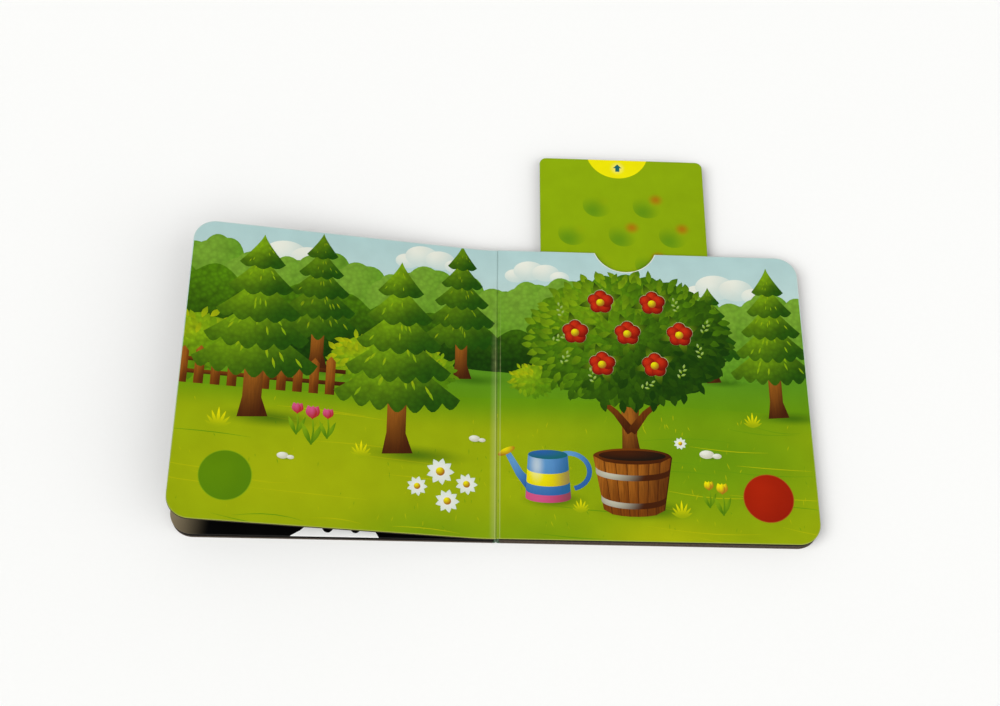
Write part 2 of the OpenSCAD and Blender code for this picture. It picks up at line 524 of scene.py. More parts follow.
def turned(points, cx, cy, degrees):
    """Points turned about a centre."""
    c = math.cos(math.radians(degrees))
    s = math.sin(math.radians(degrees))
    return [(cx + (x - cx) * c - (y - cy) * s, cy + (x - cx) * s + (y - cy) * c) for x, y in points]


def almond(x, y, size, width, degrees, steps=5):
    """A leaf with its foot at a point, growing in a direction."""
    shares = [i / steps for i in range(steps + 1)]
    upper = [(x + size * t, y + width / 2 * math.sin(math.pi * t)) for t in shares]
    lower = [(px, 2 * y - py) for px, py in upper[1:-1]]
    return turned(lower + upper[::-1], x, y, degrees)


def ribbon(path, widths):
    """A band along a path, with a width at each point."""
    left, right = [], []
    for i, (x, y) in enumerate(path):
        ax, ay = path[max(i - 1, 0)]
        bx, by = path[min(i + 1, len(path) - 1)]
        run = math.hypot(bx - ax, by - ay)
        ox = -(by - ay) / run * widths[i] / 2
        oy = (bx - ax) / run * widths[i] / 2
        left.append((x + ox, y + oy))
        right.append((x - ox, y - oy))
    return right + left[::-1]


def scallop(cx, cy, rx, ry, lobes, depth, steps=6):
    """An ellipse with a rim of round lobes."""
    points = []
    for i in range(lobes * steps):
        turn = 2 * math.pi * i / (lobes * steps)
        swell = 1 + depth * abs(math.sin(turn * lobes / 2))
        points.append((cx + rx * swell * math.cos(turn), cy + ry * swell * math.sin(turn)))
    return points


def board_outline(x0, x1, grow=0.0):
    """A board with square corners at the gutter and round ones outside, counter-clockwise."""
    r = sizes().corner / MM + grow
    top = PAGE_TOP + grow
    far = abs(x1) + grow
    near = abs(x0) - grow
    lower = arc(far - r, -top + r, r, r, -90, 0, CORNER_STEPS)
    outer = lower + arc(far - r, top - r, r, r, 0, 90, CORNER_STEPS)
    points = [(near, -top)] + outer + [(near, top)]
    return points if x1 > x0 else [(-x, y) for x, y in reversed(points)]


def box_of(points):
    """The box of some points: x0, y0, x1, y1."""
    xs = [x for x, _ in points]
    ys = [y for _, y in points]
    return min(xs), min(ys), max(xs), max(ys)


def signed_area(points):
    """Twice the area of an outline, positive when it runs counter-clockwise."""
    return sum(ax * by - bx * ay for (ax, ay), (bx, by) in zip(points, points[1:] + points[:1]))


# Print sheets


@dataclass
class Field:
    """One field of ink: an outline, its two tones, and where the first tone is strongest."""

    outline: list
    ink: tuple
    shade: tuple
    spot: tuple
    form: tuple
    group: str = ""
    soft: bool = False

    def __post_init__(self):
        if signed_area(self.outline) < 0:
            self.outline = self.outline[::-1]

    def meets(self, box):
        """Whether the field's box meets another."""
        x0, y0, x1, y1 = box_of(self.outline)
        return x0 <= box[2] and x1 >= box[0] and y0 <= box[3] and y1 >= box[1]


class PrintSheet:
    """Fields of ink from back to front. Glazes are soft spots that tint what lies under them."""

    def __init__(self):
        self.fields = []

    def field(self, outline, ink, shade=None, spot=None, form=None, leafy=0.0, streak=0.0, group=""):
        """Adds a field. Its light comes from the upper left unless a spot is given."""
        x0, y0, x1, y1 = box_of(outline)
        wide = x1 - x0
        tall = y1 - y0
        spot = spot or (x0 + 0.3 * wide, y1 - 0.15 * tall)
        form = form or (1 / (0.85 * wide), 1 / (0.95 * tall))
        first = (*ink, leafy)
        second = (*(ink if shade is None else shade), streak)
        self.fields.append(Field(outline, first, second, spot, form, group))

    def glaze(self, cx, cy, rx, ry, ink, strength, group=""):
        """Adds a soft spot over one group of fields, or over all."""
        spot = (cx, cy)
        form = (1 / rx, 1 / ry)
        rim = ellipse(cx, cy, rx, ry, 20)
        self.fields.append(Field(rim, (*ink, strength), (*ink, 0.0), spot, form, group, soft=True))


# Boards

# A board's materials: its print, the bare lip of its windows, its cut walls, its spine side
PRINT, LIP, WALL, SPINE = range(4)


def chain(edges):
    """Closed loops from directed edges."""
    following = dict(edges)
    loops = []
    while following:
        start, point = following.popitem()
        loop = [start]
        while point != start:
            loop.append(point)
            point = following.pop(point)
        loops.append(loop)
    return loops


def outward(points):
    """Outward directions at the points of a loop that has its board on the left."""
    found = []
    for i, (x, y) in enumerate(points):
        ax, ay = points[i - 1]
        bx, by = points[(i + 1) % len(points)]
        first = Vector((y - ay, ax - x)).normalized()
        second = Vector((by - y, x - bx)).normalized()
        both = first + second
        found.append(both * (2 / max(both.length_squared, 2 / LIP_REACH)))
    return found


def placed(name, data):
    """A new object in the scene."""
    item = bpy.data.objects.new(name, data)
    bpy.context.collection.objects.link(item)
    return item


class BoardMesh:
    """Collects the faces of a board, with its print in face attributes."""

    def __init__(self, surface):
        self.surface = surface
        self.points = []
        self.index = {}
        self.places = []
        self.faces = []
        self.slots = []
        self.prints = []

    def point(self, x, y, depth):
        """The vertex at a place on the page and a depth under its face."""
        place = self.surface(x, y, depth)
        key = tuple(round(value / MM, 4) for value in place)
        if key not in self.index:
            self.index[key] = len(self.points)
            self.points.append(place)
            self.places.append((x, y, depth))
        return self.index[key]

    def face(self, corners, look, bare=WALL):
        """Adds a face, printed or of bare board, unless its corners fall together."""
        if len(set(corners)) == len(corners):
            self.faces.append(corners)
            self.slots.append(PRINT if look else bare)
            self.prints.append(look)

    def build(self, name, materials):
        """Makes the object."""
        mesh = bpy.data.meshes.new(name)
        mesh.from_pydata(self.points, [], self.faces)
        for material in materials:
            mesh.materials.append(material)
        mesh.polygons.foreach_set("material_index", self.slots)
        mesh.polygons.foreach_set("use_smooth", [True] * len(self.faces))
        page = mesh.attributes.new("page", "FLOAT_VECTOR", "POINT")
        page.data.foreach_set("vector", [value for place in self.places for value in place])
        self.store_prints(mesh)
        mesh.set_sharp_from_angle(angle=math.radians(SHARP_DEGREES))
        mesh.validate()
        mesh.update()
        return placed(name, mesh)

    def store_prints(self, mesh):
        """Keeps each face's field of ink, and the glazes over it, in face attributes."""
        clear = (0.0, 0.0, 0.0, 0.0)
        blank = Field([], clear, clear, spot=(0, 0), form=(1, 1))
        layers = ("ink", *GLAZES)
        columns = {layer + end: [] for layer in layers for end in ("", "_spot", "_form")}
        columns["shade"] = []
        for look in self.prints:
            base, glazes = look or (blank, [])
            columns["shade"] += base.shade
            fields = [base, *glazes] + [blank] * (len(GLAZES) - len(glazes))
            for layer, field in zip(layers, fields):
                columns[layer] += field.ink
                columns[layer + "_spot"] += (*field.spot, 0.0)
                columns[layer + "_form"] += (*field.form, 0.0)
        for column, values in columns.items():
            placing = column.endswith(("_spot", "_form"))
            layer = mesh.attributes.new(column, "FLOAT_VECTOR" if placing else "FLOAT_COLOR", "FACE")
            layer.data.foreach_set("vector" if placing else "color", values)


def look_at(found, fields):
    """The topmost field over a face, and the glazes that lie on it, or nothing on bare board."""
    inside = sorted(i - 1 for i in found if i > 0)
    if not inside:
        return None
    base = max(i for i in inside if not fields[i].soft)
    group = fields[base].group
    over = [fields[i] for i in inside if i > base and fields[i].soft and fields[i].group in ("", group)]
    return fields[base], over[-len(GLAZES):]


def cut_cells(outline, fields, holes, folds):
    """Cells of a board that is cut along its fields: flat points, then each cell with its print."""
    _, low, _, high = box_of(outline)
    places, faces, edges = [], [], []
    for loop in (outline, *(field.outline for field in fields), *holes):
        faces.append(list(range(len(places), len(places) + len(loop))))
        places += [Vector(point) for point in loop]
    for x in folds:
        edges.append((len(places), len(places) + 1))
        places += [Vector((x, low)), Vector((x, high))]
    flat, _, cells, _, _, sources = delaunay_2d_cdt(places, edges, faces, 0, WELD)
    first_hole = 1 + len(fields)
    kept = []
    for cell, found in zip(cells, sources):
        if 0 in found and max(found) < first_hole:
            kept.append((cell, look_at(found, fields)))
    return flat, kept


def lip_profile(lip, thickness):
    """Cut edge of a board: how far out and how deep, from its face over both lips to its back."""
    quarter = [math.radians(90 * k / LIP_STEPS) for k in range(LIP_STEPS + 1)]
    upper = [(lip * math.sin(a), lip * (1 - math.cos(a))) for a in quarter]
    return upper + [(out, thickness - depth) for out, depth in reversed(upper)]


def add_rim(mesh, points, looks, lip, thickness, printed):
    """Lips and walls along a loop of a board, with print on the first steps of its upper lip."""
    ways = outward(points)
    rings = [
        [mesh.point(x + way.x * out, y + way.y * out, depth) for (x, y), way in zip(points, ways)]
        for out, depth in lip_profile(lip, thickness)
    ]
    for k, (over, under) in enumerate(zip(rings, rings[1:])):
        for i, look in enumerate(looks):
            j = (i + 1) % len(points)
            folded = max(abs(points[i][0]), abs(points[j][0])) < FOLD_ZONE
            wall = SPINE if folded else WALL
            bare = LIP if k < LIP_STEPS else wall
            mesh.face([over[j], over[i], under[i], under[j]], look if k < printed else None, bare)


def make_board(name, outline, holes, surface, thickness, sheet, materials, folds=(), back=None):
    """A die-cut board: its print on top, rounded lips, cut walls and a back."""
    box = box_of(outline)
    fields = [field for field in sheet.fields if field.meets(box)]
    flat, cells = cut_cells(outline, fields, holes, folds)
    mesh = BoardMesh(surface)
    sides = {}
    for cell, look in cells:
        mesh.face([mesh.point(*flat[i], 0.0) for i in cell], look)
        sides.update({edge: look for edge in zip(cell, cell[1:] + cell[:1])})
    rims = {edge: look for edge, look in sides.items() if edge[::-1] not in sides}

    edges, windows = [], []
    for loop in chain(list(rims)):
        points = [tuple(flat[i]) for i in loop]
        looks = [rims[edge] for edge in zip(loop, loop[1:] + loop[:1])]
        if signed_area(points) < 0:
            windows.append(points[::-1])
            add_rim(mesh, points, looks, sizes().window_lip / MM, thickness, 1)
        else:
            edges.append(points)
            add_rim(mesh, points, looks, sizes().lip / MM, thickness, LIP_STEPS)

    flat, cells = cut_cells(edges[0], back.fields if back else [], windows, folds)
    for cell, look in cells:
        mesh.face([mesh.point(*flat[i], thickness) for i in reversed(cell)], look)
    return mesh.build(name, materials)


def flat_surface(top):
    """A flat page at a height."""
    return lambda x, y, depth: (GUTTER_X + x * MM, PAGE_MID_Y + y * MM, (top - depth) * MM)


def raised_surface(top):
    """The raised leaf: flat at the glued strip, bent up, then flat to its outer edge."""
    rise = sizes().rise
    bend = sizes().bend / MM
    start = GUTTER_EDGE + sizes().root / MM
    radius = bend / rise

    def place(x, y, depth):
        turn = min(max((-x - start) / radius, 0.0), rise)
        strip = min(-x, start)
        rest = max(-x - start - bend, 0.0)
        reach = strip + radius * math.sin(turn) + rest * math.cos(turn) + depth * math.sin(turn)
        height = top + radius * (1 - math.cos(turn)) + rest * math.sin(turn) - depth * math.cos(turn)
        return GUTTER_X - reach * MM, PAGE_MID_Y + y * MM, height * MM

    return place


# The picture across both pages

# Places of clouds, pebbles and daisies, each with a size
CLOUDS = ((-112, 66, 15), (-38, 74, 12), (22, 70, 11), (128, 62, 14), (-160, 52, 10))
PEBBLES = ((112, -36, 4), (-12, -30, 3), (-112, -48, 3))
DAISIES = ((-30, -50, 7.5), (-16, -56, 6), (-42, -59, 5.5), (-26, -66, 6.5), (98, -30, 3.6))

# Feet of tulips and tufts, each with a height, and of firs, with a height and a width
PINK_TULIPS = ((-106, -36, 18), (-98, -41, 22), (-90, -37, 17))
YELLOW_TULIPS = ((112, -66, 15), (119, -70, 18))
TUFTS = ((-146, -36, 12), (-72, -46, 10), (44, -70, 8), (97, -72, 10), (138, -20, 9))
FAR_FIRS = ((-98, 2, 84, 46), (-20, 4, 84, 44), (118, 6, 60, 34))
NEAR_FIRS = ((-130, -28, 110, 66), (-54, -42, 116, 68), (152, -14, 94, 48))

# Centres of bushes, each with half its width and height, and the leaves on each
BUSHES = ((-160, 12, 22, 17), (-72, 10, 19, 14), (-38, 7, 15, 11), (20, 5, 13, 9))
BUSH_LEAVES = 70
SHRUB_LEAVES = 330

# A leaf's length against the side of the square that it has to itself
LEAF_SPREAD = 15 / 5.2

# The shrub's centre height, half its width and half its height, then its tub's foot, width and height
SHRUB = (31, 57, 41)
TUB = (-68, 42, 30)

# The fence's ends and foot, and the watering can's middle and foot
FENCE = (-172, -82, -12)
CAN = (27, -62)

# Fine strokes of grass and long sweeps over the meadow
GRASS_STROKES = 170
GRASS_SWEEPS = 34

# Centres of the plain discs
GREEN_DISC = (-140, -61)
RED_DISC = (143.5, -60)

# Pale marks along the gutter: place, half width, strength. The wide one is a painted sheen on the left
# page by the gutter, the narrow ones are worn score lines
GUTTER_SHEEN_AND_SCUFFS = ((-1.4, 3.0, 0.2), (-0.9, 0.5, 0.4), (1.6, 0.5, 0.4))


def draw_land(sheet):
    """Sky, clouds, hills and meadow."""
    ink = inks()
    wide = max(PAGE_W, LEFT_W) + BLEED
    top = PAGE_TOP + BLEED
    down = (0.0, 1 / 75)
    sheet.field(rectangle(-wide, -top, wide, top), ink.sky, ink.haze, (0, top), down)
    for x, y, size in CLOUDS:
        for dx, dy, r in ((-1.1, -0.1, 0.55), (-0.4, 0.2, 0.8), (0.45, 0.1, 0.7), (1.15, -0.15, 0.5)):
            puff = ellipse(x + dx * size, y + dy * size, r * size, 0.7 * r * size)
            sheet.field(puff, ink.cloud, ink.haze)
    steps = 40
    xs = [-wide + 2 * wide * i / steps for i in range(steps + 1)]

    def ridge(level, swell, period, shift):
        return [(x, level + swell * math.sin(x / period + shift)) for x in xs]

    def ground(edge, light, dark, level, fade, group):
        outline = [(wide, -top), *reversed(edge), (-wide, -top)]
        sheet.field(outline, light, dark, (0, level), (0.0, 1 / fade), group=group)

    ground(ridge(16, 3, 26, 0.6), ink.far_hill, ink.hill, 22, 22, "far")
    for i, x in enumerate(range(-172, 180, 19)):
        crown = scallop(x, 40 - x / 22 + 5 * math.sin(1.9 * i), 18 + 2 * math.cos(2.7 * i), 24, 9, 0.07)
        sheet.field(crown, ink.far_hill, ink.hill, leafy=0.5, group=f"crown_{i}")
    wood = [(x / 2, 30 - x / 14 + 7 * abs(math.sin(x / 15))) for x in range(-360, 60, 3)]
    hedge = [(30, 0), *reversed(wood), (-180, 0)]
    fade = {"spot": (-90, 62), "form": (0.0, 1 / 50)}
    sheet.field(hedge, ink.leaf_mid, ink.leaf_dark, **fade, leafy=0.9, group="wood")
    ground(ridge(7, 3.5, 38, 2.4), ink.hill, ink.meadow, 12, 26, "hill")
    ground(ridge(-9, 3, 52, 1.2), ink.meadow, ink.lime, -6, 22, "meadow")
    for patch in (
        (-110, -60, 95, 34, ink.lime_light, 0.4),
        (-36, -86, 55, 26, ink.meadow, 0.6),
        (24, -86, 60, 30, ink.meadow, 0.6),
        (112, -38, 120, 56, ink.meadow, 0.9),
        (88, -84, 46, 16, ink.lime_light, 0.7),
    ):
        sheet.glaze(*patch, "meadow")


def draw_fir(sheet, x, foot, height, width, light, tag):
    """A fir of scalloped tiers on a short trunk."""
    ink = inks()
    rng = random.Random(tag)
    wood = 0.15 * width
    trunk = [(x + 0.1 * wood, foot), (x, foot + 0.1 * height), (x, foot + 0.36 * height)]
    sheet.glaze(x + 0.16 * width, foot, 0.5 * width, 0.1 * width, ink.grass_dark, 0.8)
    bole = ribbon(trunk, (1.6 * wood, wood, wood))
    sheet.field(bole, ink.bark_light, ink.bark_dark, streak=0.5, group=tag)
    tiers = 5
    side_steps = 6
    lobe_steps = 5
    flare = 1.25
    low = foot + 0.24 * height
    for tier in range(tiers):
        share = tier / tiers
        base = low + 0.7 * height * share
        span = width * (1 - 0.78 * share)
        peak = base + height * (0.3 - 0.03 * tier)
        droop = 0.08 * span
        tip = base + droop
        lobes = 7 - tier
        shares = [i / side_steps for i in range(side_steps + 1)]
        right = [(x + span / 2 * t ** flare, peak - (peak - tip) * t) for t in shares]
        left = [(2 * x - px, py) for px, py in reversed(right[1:])]
        hem = []
        for i in range(1, lobes * lobe_steps):
            t = i / (lobes * lobe_steps)
            lift = droop * (2 * t - 1) ** 2
            sag = 0.07 * span * abs(math.sin(math.pi * lobes * t))
            hem.append((x + span / 2 * (1 - 2 * t), base + lift - sag))
        group = f"{tag}_{tier}"
        sheet.field(right + hem + left, light, blend(ink.fir_dark, light, 0.15), leafy=0.55, group=group)
        sheet.glaze(x + 0.32 * span, base, 0.55 * span, 0.75 * (peak - base), ink.fir_dark, 0.75, group)
        for _ in range(10 - tier):
            t = rng.uniform(0.25, 0.9)
            side = rng.uniform(-0.8, 0.8)
            nx = x + side * span / 2 * t ** flare
            ny = peak - (peak - tip) * t
            tone = blend(light, ink.lime_light, rng.uniform(0.1, 0.6))
            needle = almond(nx, ny, 0.1 * span, 0.022 * span, -90 + 50 * side)
            sheet.field(needle, tone, light, group=group)


def draw_fence(sheet, x0, x1, foot):
    """A low wooden fence: two rails and pointed boards."""
    ink = inks()
    rail, wide, point, pitch = 2.4, 5, 3, 8.5
    for level in (5.5, 12.5):
        band = rectangle(x0, foot + level, x1, foot + level + rail)
        sheet.field(band, ink.bark, ink.bark_dark, streak=0.3, group="rail")
    for i in range(int((x1 - x0) / pitch)):
        group = f"board_{i}"
        x = x0 + 3 + i * pitch
        top = foot + (18 + 1.2 * math.sin(2.3 * i))
        board = [(x, foot), (x + wide, foot), (x + wide, top), (x + wide / 2, top + point), (x, top)]
        sheet.field(board, ink.bark_light, ink.bark, streak=0.6, group=group)
        sheet.glaze(x + wide, foot + 2, wide, 9, ink.bark_dark, 0.7, group)


def draw_shrub(sheet, cx, cy, rx, ry, count, tones, tag):
    """A round shrub: a dark body under leaves that spread like seeds on a head."""
    dark, middle, light = tones
    rng = random.Random(tag)
    lobes = round(rx / 2.2)
    fill = 0.93
    body = scallop(cx, cy, rx * fill, ry * fill, lobes, 0.07)
    sheet.field(body, middle, dark, (cx - 0.35 * rx, cy + 0.4 * ry), leafy=0.8, group=tag)
    golden = math.pi * (3 - math.sqrt(5))
    size = LEAF_SPREAD * math.sqrt(rx * ry / count)
    for i in range(count, 0, -1):
        reach = math.sqrt(i / count)
        turn = i * golden
        x = cx + rx * fill * reach * math.cos(turn)
        y = cy + ry * fill * reach * math.sin(turn)
        side = reach * (0.36 * math.sin(turn) - 0.33 * math.cos(turn))
        sun = min(max(0.48 + side + rng.uniform(-0.25, 0.25), 0.0), 1.0)
        tone = blend(dark, middle, 2 * sun) if sun < 0.5 else blend(middle, light, 2 * sun - 1)
        shade = blend(tone, dark, 0.45)
        way = math.degrees(turn) + rng.uniform(-45, 45)
        leaf = almond(x, y, size * rng.uniform(0.85, 1.15), size * rng.uniform(0.4, 0.55), way)
        sheet.field(leaf, tone, shade, (x, y), (0.9 / size, 0.9 / size), leafy=0.25, group=tag)
    sheet.glaze(cx + 0.4 * rx, cy - 0.45 * ry, rx * 0.95, ry * 0.9, dark, 0.8, tag)
    sheet.glaze(cx - 0.4 * rx, cy + 0.45 * ry, rx * 0.6, ry * 0.55, light, 0.4, tag)


def draw_sprig(sheet, x, y, size, degrees):
    """A short twig with pairs of pale leaves."""
    ink = inks()
    pale = blend(ink.leaf_light, ink.cloud, 0.22)
    leaves = 5
    for i in range(leaves):
        along = size * (0.25 + 0.18 * i)
        fx = x + along * math.cos(math.radians(degrees))
        fy = y + along * math.sin(math.radians(degrees))
        lean = 0 if i == leaves - 1 else 48 * (-1) ** i
        leaf = almond(fx, fy, 0.34 * size, 0.16 * size, degrees + lean)
        sheet.field(leaf, pale, ink.leaf_light, group="sprig")


def draw_sepals(sheet, x, y):
    """Pairs of dark leaves behind a flower window."""
    ink = inks()
    for i in range(4):
        way = 20 + 90 * i + 7 * math.sin(3 * x + i)
        leaf = almond(x, y, 12.5, 4.6, way)
        sheet.field(leaf, ink.leaf_light, ink.leaf_dark, (x, y), (1 / 14, 1 / 14), group="sepal")


def draw_tub(sheet, cx, foot, wide, tall):
    """A wooden tub of staves with two hoops, and the shrub's stem."""
    ink = inks()
    rim = foot + tall
    bow, taper, hoop = 4.6, 0.38, 1.6
    sheet.glaze(cx + 6, foot, 0.75 * wide, 7, ink.grass_dark, 0.9)
    stem = [(cx, rim - 3), (cx - 1, rim + 12), (cx, rim + 30)]
    sheet.field(ribbon(stem, (11, 8, 10)), ink.bark_light, ink.bark_dark, streak=0.8, group="stem")
    for side in (-1, 1):
        branch = [(cx, rim + 14), (cx + side * 8, rim + 25), (cx + side * 18, rim + 34)]
        sheet.field(ribbon(branch, (5, 3.6, 2)), ink.bark, ink.bark_dark, streak=0.8, group="stem")
    sheet.field(ellipse(cx, rim, wide / 2, bow), ink.bark, ink.bark_dark, group="rim")
    sheet.field(ellipse(cx, rim + 0.4, wide / 2 - 3, 3), ink.bark_dark, ink.soil, group="soil")
    staves = 7
    for i in range(staves):
        a = -1 + 2 * i / staves
        b = -1 + 2 * (i + 1) / staves
        sag_a, sag_b = [bow * math.sqrt(max(0.0, 1 - t * t)) for t in (a, b)]
        stave = [
            (cx + a * taper * wide, foot - sag_a * 0.8),
            (cx + b * taper * wide, foot - sag_b * 0.8),
            (cx + b * 0.5 * wide, rim - sag_b),
            (cx + a * 0.5 * wide, rim - sag_a),
        ]
        sheet.field(stave, ink.bark_light, ink.bark, streak=0.9, group="tub")
        seam = [stave[1], stave[2]]
        sheet.field(ribbon(seam, (0.5, 0.7)), ink.bark_dark, group="tub")
    for level in (0.22, 0.74):
        half = wide * (taper + 0.12 * level)
        y = foot + tall * level
        upper = arc(cx, y + hoop, half, bow, 180, 360, 18)
        lower = arc(cx, y - hoop, half, bow, 360, 180, 18)
        lit = (cx - half * 0.6, y)
        sheet.field(upper + lower, ink.pebble, ink.bark_dark, lit, (1 / half, 0.08), group="hoop")
    sheet.glaze(cx + 0.4 * wide, foot + 0.4 * tall, 0.45 * wide, tall, ink.bark_dark, 0.75, "tub")


def draw_can(sheet, cx, foot):
    """A blue watering can with a yellow stripe and a pink foot."""
    ink = inks()
    tall, half, mouth, bow = 24, 12, 10.5, 3
    sheet.glaze(cx + 3, foot - 1, 21, 6, ink.grass_dark, 0.9)
    handle = arc(cx + 11, foot + 15, 11, 10, -75, 120, 16)
    sheet.field(ribbon(handle, [2.6] * len(handle)), ink.blue_light, ink.blue, group="handle")
    spout = [(cx - 9, foot + 6), (cx - 15, foot + 13), (cx - 21, foot + tall)]
    sheet.field(ribbon(spout, (6, 4.2, 3)), ink.blue_light, ink.blue, group="spout")
    end = (cx - 22, foot + 25.5)
    rose = turned(ellipse(*end, 5, 1.8), *end, 28)
    sheet.field(rose, ink.yellow, ink.bark_light, group="rose")
    body = [*arc(cx, foot, half, bow, 180, 360, 14), (cx + mouth, foot + tall), (cx - mouth, foot + tall)]
    sheet.field(body, ink.blue_light, ink.blue, streak=0.1, group="can")
    sheet.field(ellipse(cx, foot + tall, mouth, 2.6), ink.blue, ink.teal, group="mouth")
    for low, high, light, dark in ((9, 16, ink.yellow, ink.bark_light), (0, 4, ink.pink, ink.red_dark)):
        side = half - (half - mouth) * low / tall
        upper = arc(cx, foot + high, side - 0.4, bow, 180, 360, 14)
        lower = arc(cx, foot + low, side, bow, 360, 180, 14)
        sheet.field(upper + lower, light, dark, (cx - 6, foot + high), (1 / 26, 1 / 40), group="can")
    sheet.glaze(cx + 11, foot + 10, 9, 24, ink.teal, 0.4, "can")
    sheet.glaze(cx - 6, foot + 18, 5, 12, ink.cloud, 0.5, "can")


def draw_daisy(sheet, x, y, size):
    """A white flower with a yellow eye."""
    ink = inks()
    petals = 9
    for i in range(petals):
        petal = almond(x, y, size, 0.52 * size, 360 * i / petals)
        sheet.field(petal, ink.cloud, ink.haze, (x, y), (1 / (1.6 * size), 1 / (1.6 * size)))
    sheet.field(ellipse(x, y, 0.32 * size, steps=14), ink.yellow, ink.bark_light)


def draw_tulip(sheet, x, y, tall, light, dark):
    """A cup-shaped flower on a stem with two blades."""
    ink = inks()
    stem = [(x, y), (x + 0.04 * tall, y + 0.35 * tall), (x, y + 0.7 * tall)]
    for side in (-1, 1):
        sheet.field(almond(x, y, 0.62 * tall, 0.13 * tall, 90 - 24 * side), ink.leaf_light, ink.leaf_mid)
    sheet.field(ribbon(stem, (1.0, 0.9, 0.8)), ink.leaf_light, ink.leaf_mid)
    for side in (-1, 1):
        cup = almond(x, y + 0.66 * tall, 0.36 * tall, 0.22 * tall, 90 - 20 * side)
        sheet.field(cup, light, dark)
    sheet.field(almond(x, y + 0.64 * tall, 0.36 * tall, 0.2 * tall, 90), light, dark)


def draw_tuft(sheet, x, y, tall, light, dark, blades=7):
    """A fan of grass blades."""
    spread = 60
    for i in range(blades):
        lean = spread * (i / (blades - 1) - 0.5) * 2
        size = tall * (1 - 0.35 * abs(lean) / spread)
        blade = almond(x, y, size, 0.14 * tall, 90 - lean)
        sheet.field(blade, light, dark, (x, y + tall), (0.05, 1 / tall))


def draw_pebbles(sheet, x, y, size):
    """Two stones in the grass."""
    ink = inks()
    sheet.glaze(x + 0.5 * size, y - 0.25 * size, 1.9 * size, 0.7 * size, ink.grass_dark, 0.7)
    for dx, dy, r in ((0, 0, 1.0), (1.35, -0.22, 0.62)):
        stone = ellipse(x + dx * size, y + dy * size, r * size, 0.6 * r * size)
        sheet.field(stone, ink.cloud, ink.pebble)


def draw_grass(sheet):
    """Fine strokes over the meadow, and long pale sweeps."""
    ink = inks()
    rng = random.Random("grass")
    for _ in range(GRASS_STROKES):
        x = rng.uniform(-LEFT_W, PAGE_W)
        y = rng.uniform(-84, -16)
        light = rng.random() < 0.5
        tone = ink.lime_light if light else ink.meadow
        sheet.field(almond(x, y, rng.uniform(2, 4.5), 0.5, rng.uniform(60, 120)), tone, ink.lime)
    for i in range(GRASS_SWEEPS):
        x = rng.uniform(-LEFT_W - 20, PAGE_W - 20)
        y = rng.uniform(-82, -14)
        reach = rng.uniform(24, 60)
        lift = rng.uniform(-3.5, 3.5)
        sweep = [(x + reach * t, y + lift * math.sin(2.6 * t) - 2 * t) for t in (0, 0.2, 0.4, 0.6, 0.8, 1)]
        tone = ink.lime_light if i % 3 else ink.meadow
        sheet.field(ribbon(sweep, (0.1, 0.3, 0.45, 0.45, 0.3, 0.1)), tone, group="meadow")


def draw_disc(sheet, x, y, light, dark, rim):
    """A plain disc with a thin rim."""
    r = sizes().disc / MM
    line = 0.4
    sheet.field(ellipse(x, y, r, steps=64), rim)
    sheet.field(ellipse(x, y, r - line, steps=64), light, dark, (x - 4, y + 4), (1 / 34, 1 / 34))


def draw_lip_highlights(sheet):
    """Pale lines along the boards' edges and round the notch: painted highlight where the rounded lips
    catch light.
    """
    ink = inks()
    low = blend(ink.lime, ink.core_pale, 0.2)
    high = blend(ink.sky, ink.cloud, 0.3)
    # Width of the painted highlight along the lips
    highlight_width = 0.4
    for x0, x1 in ((GUTTER_EDGE, PAGE_W), (-GUTTER_EDGE, -LEFT_W)):
        edge = board_outline(x0, x1, -highlight_width / 2)
        sheet.field(ribbon(edge, [highlight_width] * len(edge)), low, high, (0, -PAGE_TOP), (0.0, 1 / 150))
    r, y = notch_circle(PAGE_TOP)
    notch = arc(CARD_X, y, r + 0.1, r + 0.1, 200, 340, 60)
    sheet.field(ribbon(notch, [2 * highlight_width] * len(notch)), ink.cloud)


